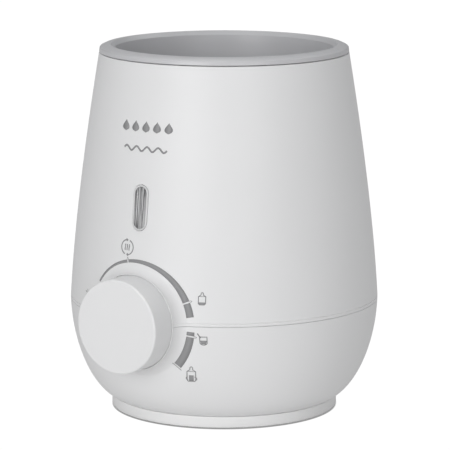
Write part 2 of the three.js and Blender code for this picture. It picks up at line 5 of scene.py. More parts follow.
import bmesh
import bpy
import numpy as np
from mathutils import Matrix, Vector


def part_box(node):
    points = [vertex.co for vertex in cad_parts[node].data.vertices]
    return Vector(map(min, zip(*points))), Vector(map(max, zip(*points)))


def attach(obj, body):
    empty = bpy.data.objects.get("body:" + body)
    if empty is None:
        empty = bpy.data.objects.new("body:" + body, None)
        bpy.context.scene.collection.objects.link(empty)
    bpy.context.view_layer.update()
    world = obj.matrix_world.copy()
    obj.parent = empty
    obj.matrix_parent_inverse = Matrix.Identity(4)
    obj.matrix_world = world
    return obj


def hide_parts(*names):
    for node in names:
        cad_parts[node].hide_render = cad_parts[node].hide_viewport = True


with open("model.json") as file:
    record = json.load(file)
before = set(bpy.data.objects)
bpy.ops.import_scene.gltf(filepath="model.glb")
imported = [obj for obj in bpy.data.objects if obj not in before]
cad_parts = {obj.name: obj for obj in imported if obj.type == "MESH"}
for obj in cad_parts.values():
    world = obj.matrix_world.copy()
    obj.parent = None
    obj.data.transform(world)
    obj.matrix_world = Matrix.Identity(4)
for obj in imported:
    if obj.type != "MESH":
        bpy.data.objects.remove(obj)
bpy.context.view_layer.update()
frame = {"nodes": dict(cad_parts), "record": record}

MM = 0.001

# ---- Places read from the frame, in millimetres from the body's axis on the ground ----


def node_box(name):
    low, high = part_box(name)
    return low / MM, high / MM


well_high = node_box("well")[1]
upper_low, upper_high = node_box("upper_casing")
lower_low, lower_high = node_box("lower_casing")
knob_low, knob_high = node_box("knob")
base_low, base_high = node_box("base_cover")
plate_low, plate_high = node_box("heating_plate")
gland_low, gland_high = node_box("cord_gland")
lens_low, lens_high = node_box("indicator_lens")

AXIS_Y = (base_low.y + base_high.y) / 2
RIM_TOP = well_high.z
CASING_TOP = upper_high.z
CASING_BOTTOM = lower_low.z
SEAM = (knob_low.z + knob_high.z) / 2
SEAM_GAP = 0.16
BASE_GAP = 0.16
UPPER_EDGE = SEAM + SEAM_GAP / 2
LOWER_EDGE = SEAM - SEAM_GAP / 2
EDGE = {"upper": UPPER_EDGE, "lower": LOWER_EDGE}
SIGN = {"upper": 1, "lower": -1}  # above or below the seam
BODY_RADIUS = lower_high.x
TOP_RADIUS = well_high.x
BASE_RADIUS = base_high.x
KNOB_RADIUS = knob_high.x
KNOB_FACE = AXIS_Y - knob_low.y
KNOB_BACK = AXIS_Y - knob_high.y
PLATE_TOP = plate_high.z
PLATE_RADIUS = plate_high.x
GLAND_HEIGHT = (gland_low.z + gland_high.z) / 2
WINDOW_HEIGHT = (lens_low.z + lens_high.z) / 2

WALL = 2.5
BAND_TOP = SEAM + 1.2  # band along the upper casing's bottom edge
GROOVE_HEIGHT = SEAM + 1.35  # fine groove above the band
GROOVE_DEPTH = 0.26
GROOVE_HALF = 0.13
SEAM_ROUNDING = 0.1
COLLAR_FACE = AXIS_Y - upper_low.y  # front of the collar, before the body's axis
COLLAR_BORE = KNOB_RADIUS + 0.13
COLLAR_LIP = 0.2  # radius of the collar's rounded front edge
FLARE_START = COLLAR_BORE + 2 * COLLAR_LIP
FLARE_WIDTH = 3.6
COLLAR_REACH = FLARE_START + 6.2  # rings about the knob's axis reach this far
WEB_FRONT = COLLAR_FACE - 4.0  # wall behind the knob, with a hole for its shaft
WEB_BACK = WEB_FRONT - 2.0
WEB_HOLE = 8.0
GLAND_INSIDE = gland_low.y - AXIS_Y
GLAND_NOSE = gland_high.y - AXIS_Y
GLAND_FACE = GLAND_NOSE - 4.2  # flat of the rear boss, behind the body's axis
GLAND_BOSS = 9.2  # radius of that boss, with its rounded edge
GLAND_FLAT = 7.3  # radius of its plain flat
GLAND_HOLE = 5.0
WINDOW_HALF = 3.65
WINDOW_STRAIGHT = 5.65  # half the length of the window's straight sides
COLUMNS = 192

# ---- Mesh helpers ----


def new_piece(name, sheet, body, slot=None):
    """A mesh from a sheet in millimetres about the body's axis, riding on a body, in its slot's finish."""
    scaled = np.asarray(sheet.points, float) + (0, AXIS_Y, 0)
    mesh = bpy.data.meshes.new(name)
    mesh.from_pydata((scaled * MM).tolist(), [], sheet.faces)
    shaped = bmesh.new()
    shaped.from_mesh(mesh)
    if not sheet.has_normals:
        bmesh.ops.remove_doubles(shaped, verts=shaped.verts, dist=1e-7)
    bmesh.ops.recalc_face_normals(shaped, faces=shaped.faces)
    shaped.to_mesh(mesh)
    shaped.free()
    mesh.polygons.foreach_set("use_smooth", [True] * len(mesh.polygons))
    if sheet.has_normals:
        mesh.normals_split_custom_set_from_vertices(sheet.normals)
    piece = bpy.data.objects.new(name, mesh)
    bpy.context.scene.collection.objects.link(piece)
    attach(piece, body)
    if slot:
        paint(piece, SLOT_MATERIALS[slot])
    return piece


def even_normals(piece):
    """Shades wide faces flat and leaves the turn to the narrow faces of the rounded edges."""
    weighted = piece.modifiers.new("normals", "WEIGHTED_NORMAL")
    weighted.weight = 80
    weighted.keep_sharp = False
    return piece


class Sheet:
    """Points and faces that grow ring by ring."""

    def __init__(self):
        self.points = []
        self.faces = []
        self.normals = []
        self.has_normals = False

    def add(self, points, normals=None):
        """Adds a ring of points; where it has no normals of its own, Blender works them out."""
        start = len(self.points)
        self.points.extend(map(tuple, points))
        if normals is None:
            normals = np.zeros((len(points), 3))
        else:
            self.has_normals = True
        self.normals.extend(map(tuple, normals))
        return list(range(start, len(self.points)))

    def bridge(self, first, second, closed=True):
        count = len(first)
        for i in range(count if closed else count - 1):
            j = (i + 1) % count
            self.faces.append((first[i], first[j], second[j], second[i]))

    def bridge_all(self, rings, closed=True):
        for first, second in zip(rings, rings[1:]):
            self.bridge(first, second, closed)


def rounded(outline, steps=5):
    """A closed outline of (radius, height, rounding) corners as points, each corner an arc."""
    points = []
    count = len(outline)
    for i, (x, y, rounding) in enumerate(outline):
        corner = np.array((x, y), float)
        if rounding == 0:
            points.append(tuple(corner))
            continue
        before = np.array(outline[i - 1][:2], float) - corner
        after = np.array(outline[(i + 1) % count][:2], float) - corner
        before /= np.linalg.norm(before)
        after /= np.linalg.norm(after)
        half = math.acos(np.clip(before @ after, -1, 1)) / 2
        reach = rounding / math.tan(half)
        centre = corner + (before + after) / np.linalg.norm(before + after) * rounding / math.sin(half)
        start = corner + before * reach - centre
        end = corner + after * reach - centre
        first = math.atan2(start[1], start[0])
        sweep = (math.atan2(end[1], end[0]) - first + math.pi) % (2 * math.pi) - math.pi
        for k in range(steps + 1):
            angle = first + sweep * k / steps
            points.append(tuple(centre + rounding * np.array((math.cos(angle), math.sin(angle)))))
    return points


def lathe(name, outline, body, slot, axis="up", centre=(0, 0, 0), segments=COLUMNS):
    """Turns an outline of (radius, height) round an axis: up, front or back.

    The last ring joins the first, unless both ends of the outline lie on the axis.
    """
    sheet = Sheet()
    rings = []
    turns = np.arange(segments) * 2 * math.pi / segments
    for radius, height in outline:
        side = radius * np.sin(turns)
        rise = radius * np.cos(turns)
        along = np.full(segments, height)
        if axis == "up":
            ring = np.stack([side, -rise, along], 1)
        elif axis == "front":
            ring = np.stack([side, -along, rise], 1)
        else:
            ring = np.stack([-side, along, rise], 1)
        rings.append(sheet.add(ring + np.array(centre)))
    on_axis = outline[0][0] <= 0 and outline[-1][0] <= 0
    sheet.bridge_all(rings if on_axis else rings + [rings[0]])
    return even_normals(new_piece(name, sheet, body, slot))


def thickened(piece, thickness, side):
    """Gives a sheet some millimetres of thickness, outwards for side 1 and inwards for side -1."""
    solid = piece.modifiers.new("thickness", "SOLIDIFY")
    solid.thickness = thickness * MM
    solid.offset = side
    depsgraph = bpy.context.evaluated_depsgraph_get()
    mesh = bpy.data.meshes.new_from_object(piece.evaluated_get(depsgraph))
    piece.modifiers.clear()
    piece.data = mesh
    return piece


# ---- Shape of the body ----


def bezier_radius(corners, heights):
    """Radius of a Bezier curve at some heights, from its corners as (radius, height)."""
    t = np.linspace(0, 1, 3001)
    degree = len(corners) - 1
    weights = [math.comb(degree, k) * t**k * (1 - t) ** (degree - k) for k in range(degree + 1)]
    radius = sum(w * corner[0] for w, corner in zip(weights, corners))
    height = sum(w * corner[1] for w, corner in zip(weights, corners))
    return np.interp(heights, height, radius)


# Corners of the casings' Bezier outlines, as (radius, height).
UPPER_CURVE = [
    (BODY_RADIUS, BAND_TOP),
    (61.94, 87),
    (TOP_RADIUS, CASING_TOP),
]
LOWER_CURVE = [
    (BASE_RADIUS + 0.2, CASING_BOTTOM),
    (56.6, 10.2),
    (63.7, 27.7),
    (BODY_RADIUS, LOWER_EDGE),
]


def smooth_max(a, b, soft):
    overlap = np.maximum(soft - np.abs(a - b), 0) / soft
    return np.maximum(a, b) + overlap * overlap * soft / 4


def edge_drop(distance, rounding):
    """How far a rounded edge falls away at a distance from its rim."""
    t = np.clip(rounding - distance, 0, rounding)
    return rounding - np.sqrt(rounding * rounding - t * t)


def groove(z):
    """Depth of the fine groove above the band."""
    return GROOVE_DEPTH * np.exp(-(((z - GROOVE_HEIGHT) / GROOVE_HALF) ** 2))


def skin_radius(half, z):
    if half == "upper":
        radius = bezier_radius(UPPER_CURVE, z) - groove(z)
        return radius - edge_drop(z - UPPER_EDGE, SEAM_ROUNDING) - edge_drop(CASING_TOP - z, 0.3)
    radius = bezier_radius(LOWER_CURVE, z)
    return radius - edge_drop(LOWER_EDGE - z, SEAM_ROUNDING) - edge_drop(z - CASING_BOTTOM, 0.25)


def front_reach(half, x, z):
    """Distance of the outer skin in front of the body's axis, with the flare of the knob's collar."""
    around = np.sqrt(np.maximum(skin_radius(half, z) ** 2 - x**2, 0))
    share = np.clip(1 - (np.hypot(x, z - SEAM) - FLARE_START) / FLARE_WIDTH, 0, 1)
    rise = 1 - np.sqrt(1 - share**2)
    return around + rise * (lip_reach(half, z) - around)


def lip_reach(half, z):
    """Distance of the collar's outer edge in front of the body's axis, at seam and groove too."""
    reach = COLLAR_FACE - COLLAR_LIP - edge_drop(np.abs(z - EDGE[half]), SEAM_ROUNDING)
    return reach - groove(z) if half == "upper" else reach


def rear_reach(x, z):
    """Distance of the outer skin behind the body's axis, with the flat boss of the cord gland."""
    around = np.sqrt(np.maximum(skin_radius("lower", z) ** 2 - x**2, 0))
    from_gland = np.hypot(x, z - GLAND_HEIGHT)
    flat = GLAND_FACE - edge_drop(GLAND_BOSS - from_gland, 0.9)
    boss = np.where(from_gland > GLAND_BOSS, 0, flat)
    raised = smooth_max(around, boss, 0.8)
    return np.where(from_gland < GLAND_FLAT, GLAND_FACE, raised)


def on_body(half, x, z, lift=0.0):
    """Points on the body's front skin at some places seen from the front, and the skin's normals there."""
    x = np.asarray(x, float)
    z = np.asarray(z, float)
    step = 0.02
    at_edge = np.abs(z - EDGE[half]) < step
    low = np.where(at_edge & (SIGN[half] > 0), z, z - step)
    high = np.where(at_edge & (SIGN[half] < 0), z, z + step)
    slope_x = (front_reach(half, x + step, z) - front_reach(half, x - step, z)) / (2 * step)
    slope_z = (front_reach(half, x, high) - front_reach(half, x, low)) / (high - low)
    normals = np.stack([-slope_x, -np.ones_like(x), -slope_z], -1)
    normals /= np.linalg.norm(normals, axis=-1, keepdims=True)
    points = np.stack([x, -front_reach(half, x, z), z], -1)
    return points + normals * lift, normals


def on_back(x, z):
    """Points on the body's back skin at some places seen from the front, and the skin's normals there."""
    step = 0.02
    slope_x = (rear_reach(x + step, z) - rear_reach(x - step, z)) / (2 * step)
    slope_z = (rear_reach(x, z + step) - rear_reach(x, z - step)) / (2 * step)
    normals = np.stack([-slope_x, np.ones_like(x), -slope_z], -1)
    normals /= np.linalg.norm(normals, axis=-1, keepdims=True)
    return np.stack([x, rear_reach(x, z), z], -1), normals


# ---- Casings ----

# Distances of the grid's rows from the seam, and from the far edge.
NEAR = [0, 0.02, 0.05, 0.1, 0.3, 0.85, 1.02, 1.12, 1.2, 1.28, 1.36, 1.44, 1.54, 1.75, 2.2]
END = [0.5, 0.3, 0.15, 0.05, 0.0]
ROW_SPACING = 1.45
COLLAR_PATCH = 33  # the grid gives way to the collar this far above and below the seam
COLLAR_COLUMNS = 17  # and in this many columns on each side


def casing_rows(half):
    """Heights of the rows, from the seam to the far edge: close together at both edges."""
    far = CASING_TOP if half == "upper" else CASING_BOTTOM
    length = abs(far - EDGE[half])
    count = round((length - NEAR[-1]) / ROW_SPACING) + 1
    middle = np.linspace(NEAR[-1], length - END[0], count)[1:-1]
    offsets = [*NEAR, *middle, *[length - e for e in END]]
    return EDGE[half] + SIGN[half] * np.array(offsets)


def casing_grids(half, rows):
    """The turned outer and inner skins as rows of points, and the outer skin's normals."""
    angles = np.arange(COLUMNS) * 2 * math.pi / COLUMNS
    sines, cosines = np.sin(angles), np.cos(angles)

    def grid(across, along, up):
        return np.stack(np.broadcast_arrays(across, along, up[:, None]), -1)

    skins = []
    for inset in (0, WALL):
        radius = (skin_radius(half, rows) - inset)[:, None]
        skins.append(grid(radius * sines, -radius * cosines, rows))
    normals = grid(sines, -cosines, -np.gradient(skin_radius(half, rows), rows))
    return *skins, normals / np.linalg.norm(normals, axis=-1, keepdims=True)


def collar_circle(half, radius, count, rows):
    """Places on a circle about the knob's axis, level with the casing's rows close to the seam."""
    near = len(NEAR)
    rise = np.abs(rows[:near] - SEAM)
    level = np.arccos(np.clip(rise / radius, -1, 1))
    free = count // 2 + 1 - near
    arc = level[-1] * (1 - np.arange(1, free + 1) / free)
    left = -np.concatenate([level, arc])
    right = -left[::-1]
    turn = np.concatenate([left, right[1:] if count % 2 else right])[:count]
    return radius * np.sin(turn), SEAM + SIGN[half] * radius * np.cos(turn)


def knob_opening(sheet, half, rows, perimeter_out, perimeter_in, plan):
    """Rings from the casing's grid to the collar, down its bore, round its web and back inside."""
    count = len(plan)
    outer_x, outer_z = plan[:, 0], plan[:, 1]

    def circle(radius):
        return collar_circle(half, radius, count, rows)

    edge_x, edge_z = circle(COLLAR_REACH)
    rings = [perimeter_out]
    for t in np.linspace(0, 1, 9)[1:]:
        x = outer_x + (edge_x - outer_x) * t
        z = outer_z + (edge_z - outer_z) * t
        rings.append(sheet.add(*on_body(half, x, z)))
    for t in np.linspace(1, 0, 25)[1:]:
        x, z = circle(FLARE_START + (COLLAR_REACH - FLARE_START) * t**2)
        points, normals = on_body(half, x, z)
        rings.append(sheet.add(points, normals if t > 0 else None))
    for k in range(1, 9):
        angle = math.pi * k / 8
        x, z = circle(FLARE_START - COLLAR_LIP * (1 - math.cos(angle)))
        reach = lip_reach(half, z) + COLLAR_LIP * math.sin(angle)
        rings.append(sheet.add(np.stack([x, -reach, z], -1)))
    path = [
        (COLLAR_BORE, COLLAR_FACE - 2),
        (COLLAR_BORE, WEB_FRONT),
        (COLLAR_BORE - 4, WEB_FRONT),
        (WEB_HOLE, WEB_FRONT),
        (WEB_HOLE, WEB_BACK),
        (COLLAR_BORE - 2, WEB_BACK),
        (COLLAR_BORE + 1.5, WEB_BACK - 0.4),
    ]
    for radius, reach in path:
        x, z = circle(radius)
        rings.append(sheet.add(np.stack([x, np.full(count, -reach), z], -1)))
    for t in (0.0, 0.35, 0.7):
        x = edge_x + (outer_x - edge_x) * t
        z = edge_z + (outer_z - edge_z) * t
        inside = np.sqrt(np.maximum((skin_radius(half, z) - WALL) ** 2 - x**2, 0))
        rings.append(sheet.add(np.stack([x, -inside, z], -1)))
    rings.append(perimeter_in)
    sheet.bridge_all(rings, closed=False)
    for end in (0, -1):
        sheet.faces.append(tuple(ring[end] for ring in rings))


def round_opening(sheet, perimeter_out, perimeter_in, plan, middle, places):
    """Closed rings from the casing's grid through an opening, as places(plan, middle) gives them."""
    rings = [perimeter_out]
    rings.extend(sheet.add(*ring) for ring in places(plan, middle))
    rings.append(perimeter_in)
    sheet.bridge_all(rings)


def window_places(plan, middle):
    """Rings of the window's opening: towards it, and through the wall."""
    rings = []

    def edge(grow):
        up = np.clip(plan[:, 1] - middle, -WINDOW_STRAIGHT, WINDOW_STRAIGHT)
        core = np.stack([np.zeros(len(plan)), up], 1)
        out = plan - (0, middle) - core
        out /= np.linalg.norm(out, axis=1)[:, None]
        return core + out * (WINDOW_HALF + grow) + (0, middle)

    for t in (0.35, 0.65, 0.85):
        place = plan + (edge(0.3) - plan) * t
        rings.append(on_body("upper", place[:, 0], place[:, 1]))
    for grow, drop in ((0.3, 0), (0.15, 0.03), (0.05, 0.12), (0, 0.3), (0, WALL)):
        place = edge(grow)
        rings.append(on_body("upper", place[:, 0], place[:, 1], -drop)[: 1 if drop else 2])
    return rings


def gland_places(plan, middle):
    """Rings of the gland's opening: onto its boss, through the hole, and out along the inside."""
    rings = []
    out = plan - (0, middle)
    out /= np.linalg.norm(out, axis=1)[:, None]
    flat_edge = (GLAND_FLAT + 0.05, GLAND_FLAT - 0.05)
    for t in (0.25, 0.5, 0.75, 1.0):
        place = plan + (out * (GLAND_BOSS + 0.4) + (0, middle) - plan) * t
        rings.append(on_back(place[:, 0], place[:, 1]))
    for radius in (GLAND_BOSS, 9.0, 8.7, 8.3, 7.8, *flat_edge, 6.0, GLAND_HOLE + 0.1):
        place = out * radius + (0, middle)
        rings.append(on_back(place[:, 0], place[:, 1]))
    place = out * GLAND_HOLE + (0, middle)
    for reach in (GLAND_FACE - 0.2, 53.5, 50.2):
        rings.append([np.stack([place[:, 0], np.full(len(plan), reach), place[:, 1]], -1)])
    place = out * (GLAND_BOSS + 0.3) + (0, middle)
    inside = np.sqrt(np.maximum((skin_radius("lower", place[:, 1]) - WALL) ** 2 - place[:, 0] ** 2, 0))
    rings.append([np.stack([place[:, 0], inside, place[:, 1]], -1)])
    return rings


# Each casing's opening: its rings, the height of its middle, how far below and above that the
# grid gives way to it, its middle column and the columns on each side.
OPENINGS = {
    "upper": (window_places, WINDOW_HEIGHT, 11.4, 11.4, 0, 4),
    "lower": (gland_places, GLAND_HEIGHT, 12.0, 13.5, COLUMNS // 2, 6),
}


def casing(half):
    """A turned shell with half of the knob's collar and one round opening."""
    rows = casing_rows(half)
    outer, inner, normals = casing_grids(half, rows)
    sheet = Sheet()
    out_ids = np.array([sheet.add(ring, facing) for ring, facing in zip(outer, normals)])
    in_ids = np.array([sheet.add(ring) for ring in inner])
    last = len(rows) - 1
    missing = np.zeros((last, COLUMNS), bool)

    def nearest_row(height):
        return int(np.argmin(np.abs(rows - height)))

    def cut(first_row, last_row, columns):
        for j in columns[:-1]:
            missing[first_row:last_row, j % COLUMNS] = True

    def perimeter(loop):
        """The grid's points along a loop, outside and inside, and their places seen from the front."""
        picked = [(i, j % COLUMNS) for i, j in loop]
        plan = np.array([outer[i, j][[0, 2]] for i, j in picked])
        return [out_ids[i, j] for i, j in picked], [in_ids[i, j] for i, j in picked], plan

    top = nearest_row(SEAM + SIGN[half] * COLLAR_PATCH)
    columns = range(-COLLAR_COLUMNS, COLLAR_COLUMNS + 1)
    cut(0, top, columns)
    loop = [(i, columns[0]) for i in range(top)]
    loop += [(top, j) for j in columns]
    loop += [(i, columns[-1]) for i in reversed(range(top))]
    knob_opening(sheet, half, rows, *perimeter(loop))

    places, middle, below, above, column, reach = OPENINGS[half]
    first, final = sorted((nearest_row(middle - below), nearest_row(middle + above)))
    columns = range(column - reach, column + reach + 1)
    cut(first, final, columns)
    loop = [(first, j) for j in columns[:-1]]
    loop += [(i, columns[-1]) for i in range(first, final)]
    loop += [(final, j) for j in reversed(columns[1:])]
    loop += [(i, columns[0]) for i in range(final, first, -1)]
    round_opening(sheet, *perimeter(loop), middle, places)

    for i in range(last):
        for j in range(COLUMNS):
            if missing[i, j]:
                continue
            k = (j + 1) % COLUMNS
            sheet.faces.append((out_ids[i, j], out_ids[i, k], out_ids[i + 1, k], out_ids[i + 1, j]))
            sheet.faces.append((in_ids[i, j], in_ids[i, k], in_ids[i + 1, k], in_ids[i + 1, j]))
    for j in range(COLUMNS):
        k = (j + 1) % COLUMNS
        sheet.faces.append((out_ids[last, j], out_ids[last, k], in_ids[last, k], in_ids[last, j]))
        if not missing[0, j]:
            sheet.faces.append((out_ids[0, j], out_ids[0, k], in_ids[0, k], in_ids[0, j]))
    return sheet


# ---- Materials ----


def new_node(tree, kind, values=None):
    """A node of some kind, with some of its sockets set."""
    node = tree.nodes.new(f"ShaderNode{kind}")
    for socket, value in (values or {}).items():
        node.inputs[socket].default_value = value
    return node


def texture(tree, kind, values, mapping=None):
    """A texture in the object's coordinates, which a mapping may move or stretch."""
    place = new_node(tree, "TexCoord").outputs["Object"]
    if mapping:
        mapped = new_node(tree, "Mapping", mapping)
        tree.links.new(place, mapped.inputs["Vector"])
        place = mapped.outputs["Vector"]
    node = new_node(tree, f"Tex{kind}", values)
    tree.links.new(place, node.inputs["Vector"])
    return node


def noise(tree, scale, detail=2.0, roughness=0.5):
    values = {"Scale": scale, "Detail": detail, "Roughness": roughness}
    return texture(tree, "Noise", values).outputs["Fac"]


def ranged(tree, source, low, high):
    node = new_node(tree, "MapRange", {"To Min": low, "To Max": high})
    tree.links.new(source, node.inputs["Value"])
    return node.outputs["Result"]


def tinted(tree, source, first, second):
    node = tree.nodes.new("ShaderNodeMix")
    node.data_type = "RGBA"
    node.inputs["A"].default_value = (*first, 1)
    node.inputs["B"].default_value = (*second, 1)
    tree.links.new(source, node.inputs["Factor"])
    return node.outputs["Result"]


def set_tone(tree, shader, source, color, dark, light):
    """A colour that drifts between a darker and a lighter shade of itself."""
    mixed = tinted(tree, source, scaled_color(color, dark), scaled_color(color, light))
    tree.links.new(mixed, shader.inputs["Base Color"])


def set_gloss(tree, shader, scale, detail, low, high):
    """A roughness that drifts between two values."""
    gloss = ranged(tree, noise(tree, scale, detail), low, high)
    tree.links.new(gloss, shader.inputs["Roughness"])


def set_relief(tree, shader, source, strength, depth):
    """A fine relief of some millimetres' depth."""
    node = new_node(tree, "Bump", {"Strength": strength, "Distance": depth * MM})
    tree.links.new(source, node.inputs["Height"])
    tree.links.new(node.outputs["Normal"], shader.inputs["Normal"])


def blank_material(name):
    made = bpy.data.materials.new(name)
    made.use_nodes = True
    shader = made.node_tree.nodes["Principled BSDF"]
    return made, made.node_tree, shader


def scaled_color(color, factor):
    return tuple(min(1.0, c * factor) for c in color)


def moulded(name, color, roughness=0.42, grain=0.12, specular=0.5, spread=0.02):
    """Moulded plastic: a fine grained skin, slightly uneven in tone and gloss."""
    made, tree, shader = blank_material(name)
    set_tone(tree, shader, noise(tree, 28, 3), color, 1 - spread, 1 + spread)
    set_gloss(tree, shader, 220, 4, roughness - 0.04, roughness + 0.04)
    set_relief(tree, shader, noise(tree, 5200, 2, 0.6), grain, 0.02)
    shader.inputs["Specular IOR Level"].default_value = specular
    return made


def sheet_metal(name, color, roughness=0.32, grain=0.2):
    """Rolled metal: blotched gloss over a fine grain."""
    made, tree, shader = blank_material(name)
    set_tone(tree, shader, noise(tree, 60, 4), color, 0.9, 1.06)
    set_gloss(tree, shader, 500, 5, roughness - 0.08, roughness + 0.1)
    set_relief(tree, shader, noise(tree, 2600, 3), grain, 0.02)
    shader.inputs["Metallic"].default_value = 1.0
    return made


def turned_metal(name, color):
    """Aluminium faced on a lathe: fine rings about the body's axis."""
    made, tree, shader = blank_material(name)
    about_axis = {"Location": (0, -AXIS_Y * MM, 0)}
    rings = texture(tree, "Wave", {"Scale": 480, "Distortion": 0.6, "Detail": 2}, about_axis)
    rings.wave_type = "RINGS"
    rings.rings_direction = "Z"
    set_tone(tree, shader, noise(tree, 90, 4), color, 0.93, 1.04)
    set_gloss(tree, shader, 340, 4, 0.4, 0.55)
    set_relief(tree, shader, rings.outputs["Fac"], 0.35, 0.03)
    shader.inputs["Metallic"].default_value = 1.0
    return made


def matt_rubber(name, color):
    """Rubber or silicone: rough, and mottled in tone."""
    made, tree, shader = blank_material(name)
    set_tone(tree, shader, noise(tree, 80, 3), color, 0.85, 1.15)
    set_gloss(tree, shader, 700, 3, 0.65, 0.85)
    set_relief(tree, shader, noise(tree, 3200, 3), 0.3, 0.03)
    return made


def clear_plastic(name):
    """Clear plastic with a faintly wavy skin."""
    made, tree, shader = blank_material(name)
    set_gloss(tree, shader, 400, 3, 0.04, 0.1)
    set_relief(tree, shader, noise(tree, 900, 2), 0.08, 0.03)
    shader.inputs["Base Color"].default_value = (0.93, 0.94, 0.95, 1)
    shader.inputs["Transmission Weight"].default_value = 0.9
    shader.inputs["IOR"].default_value = 1.49
    return made


def painted_glint_plastic(name, dark, light):
    """Glossy plastic with ribs behind it that show as uneven upright streaks; the light streaks are
    painted highlights in its colour, and the same streaks give its fine relief.
    """
    made, tree, shader = blank_material(name)
    upright = {"Scale": (1, 0, 0.03)}
    rib_glints = texture(tree, "Noise", {"Scale": 2200, "Detail": 2.5, "Distortion": 0.1}, upright)
    contrast = new_node(tree, "MapRange", {"From Min": 0.36, "From Max": 0.64})
    tree.links.new(rib_glints.outputs["Fac"], contrast.inputs["Value"])
    # Painted highlights: the colour runs from the dark tone up to light streaks where light would glint
    # through the ribs.
    tree.links.new(tinted(tree, contrast.outputs["Result"], dark, light), shader.inputs["Base Color"])
    set_gloss(tree, shader, 400, 3, 0.1, 0.2)
    set_relief(tree, shader, rib_glints.outputs["Fac"], 0.25, 0.1)
    return made


def circuit_board(name):
    """Green solder mask with faint copper tracks under it."""
    made, tree, shader = blank_material(name)
    values = {
        "Scale": 160,
        "Mortar Size": 0.03,
        "Color1": (0.02, 0.12, 0.05, 1),
        "Color2": (0.025, 0.15, 0.06, 1),
        "Mortar": (0.05, 0.24, 0.1, 1),
    }
    tracks = texture(tree, "Brick", values)
    tree.links.new(tracks.outputs["Color"], shader.inputs["Base Color"])
    set_gloss(tree, shader, 600, 2, 0.3, 0.45)
    set_relief(tree, shader, tracks.outputs["Fac"], 0.3, 0.03)
    return made


PRINT_GREY = moulded("print_ink", (0.29, 0.29, 0.295), roughness=0.5, grain=0.04)
# The optic's light streaks are painted highlights over its dark tone.
OPTIC = painted_glint_plastic("optic_painted_glints", (0.02, 0.02, 0.022), (0.58, 0.58, 0.59))
BEZEL = moulded("bezel_plastic", (0.66, 0.66, 0.665), roughness=0.2, grain=0.03)

SLOT_MATERIALS = {
    "casing": moulded("casing_plastic", (0.80, 0.80, 0.805), roughness=0.46),
    "base": moulded("base_plastic", (0.81, 0.81, 0.81), roughness=0.45),
    "well": moulded("well_plastic", (0.575, 0.575, 0.59), roughness=0.36, grain=0.06),
    "knob": moulded("knob_plastic", (0.82, 0.82, 0.825), roughness=0.4, grain=0.06),
    "lens": clear_plastic("clear_plastic"),
    "foot_rubber": matt_rubber("foot_rubber", (0.09, 0.09, 0.095)),
    "silicone": matt_rubber("seal_silicone", (0.42, 0.12, 0.05)),
    "plate": turned_metal("plate_aluminium", (0.72, 0.73, 0.74)),
    "heater_steel": sheet_metal("heater_steel", (0.33, 0.31, 0.30), 0.45),
    "zinc_sheet": sheet_metal("zinc_sheet", (0.62, 0.63, 0.64)),
    "screw_steel": sheet_metal("screw_steel", (0.58, 0.59, 0.60), 0.28),
    "brass": sheet_metal("nut_brass", (0.68, 0.50, 0.22)),
    "board": circuit_board("circuit_board"),
    "black_plastic": moulded("black_plastic", (0.03, 0.03, 0.033), grain=0.2, spread=0.15),
    "white_inner": moulded("inner_plastic", (0.72, 0.70, 0.66)),
    "film_resin": moulded("film_resin", (0.45, 0.16, 0.04), roughness=0.25, spread=0.1),
    "red_wire": moulded("red_wire", (0.42, 0.03, 0.02), spread=0.1),
    "blue_wire": moulded("blue_wire", (0.03, 0.06, 0.3), spread=0.1),
    "black_wire": moulded("black_wire", (0.02, 0.02, 0.022), spread=0.1),
}


def paint(piece, material):
    piece.data.materials.clear()
    piece.data.materials.append(material)
    return piece


def finish_cad_nodes():
    """Gives every CAD node that stays in view its slot's material."""
    for part in frame["record"]["subparts"]:
        paint(frame["nodes"][part["node"]], SLOT_MATERIALS[part["material_slot"]])


# ---- Pieces ----


def make_casings():
    for half in ("upper", "lower"):
        sheet = casing(half)
        shell = new_piece(f"{half}_shell", sheet, "warmer", "casing")
        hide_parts(f"{half}_casing")


def make_knob():
    """A cup with a flat face and a hub that takes the control's shaft."""
    wall = 2.0
    hub = 5.6
    bore = 3.3
    outline = [
        (0, KNOB_FACE, 0),
        (KNOB_RADIUS, KNOB_FACE, 0.9),
        (KNOB_RADIUS, KNOB_BACK, 0.3),
        (KNOB_RADIUS - wall, KNOB_BACK, 0.3),
        (KNOB_RADIUS - wall, KNOB_FACE - 2.6, 0.8),
        (hub, KNOB_FACE - 2.0, 0.5),
        (hub, KNOB_BACK, 0.3),
        (bore, KNOB_BACK, 0.3),
        (bore, KNOB_FACE - 3.1, 0),
        (0, KNOB_FACE - 3.1, 0),
    ]
    knob = lathe("knob_cap", rounded(outline, 8), "dial", "knob", "front", (0, 0, SEAM))
    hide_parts("knob")


def make_well():
    """The grey liner: a rim over the casing's top, a leaning wall and a floor round the plate."""
    lip = TOP_RADIUS - 5.9
    floor_edge = 40.6
    hole = 29.0
    floor = PLATE_TOP - 0.3
    under = floor - 2
    skirt = CASING_TOP + 0.3
    outline = [
        (hole, under, 0.3),
        (floor_edge + 1, under, 0.8),
        (floor_edge + 2.2, under + 4, 2),
        (lip + 1.6, RIM_TOP - 8, 0.5),
        (TOP_RADIUS - 3.3, RIM_TOP - 8, 0.3),
        (TOP_RADIUS - 3.1, skirt + 0.3, 0),
        (TOP_RADIUS - 2.3, skirt, 0),
        (TOP_RADIUS, skirt, 0.2),
        (TOP_RADIUS - 0.25, RIM_TOP - 0.85, 0.7),
        (TOP_RADIUS - 2.1, RIM_TOP, 2.0),
        (TOP_RADIUS - 4.8, RIM_TOP + 0.35, 0.4),
        (lip - 0.3, RIM_TOP - 1.5, 0.35),
        (lip - 0.5, RIM_TOP - 4.2, 0.5),
        (floor_edge, floor + 5, 4),
        (floor_edge - 2.0, floor, 3.2),
        (hole, floor, 0.3),
    ]
    piece = lathe("well_liner", rounded(outline, 8), "warmer", "well")
    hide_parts("well")


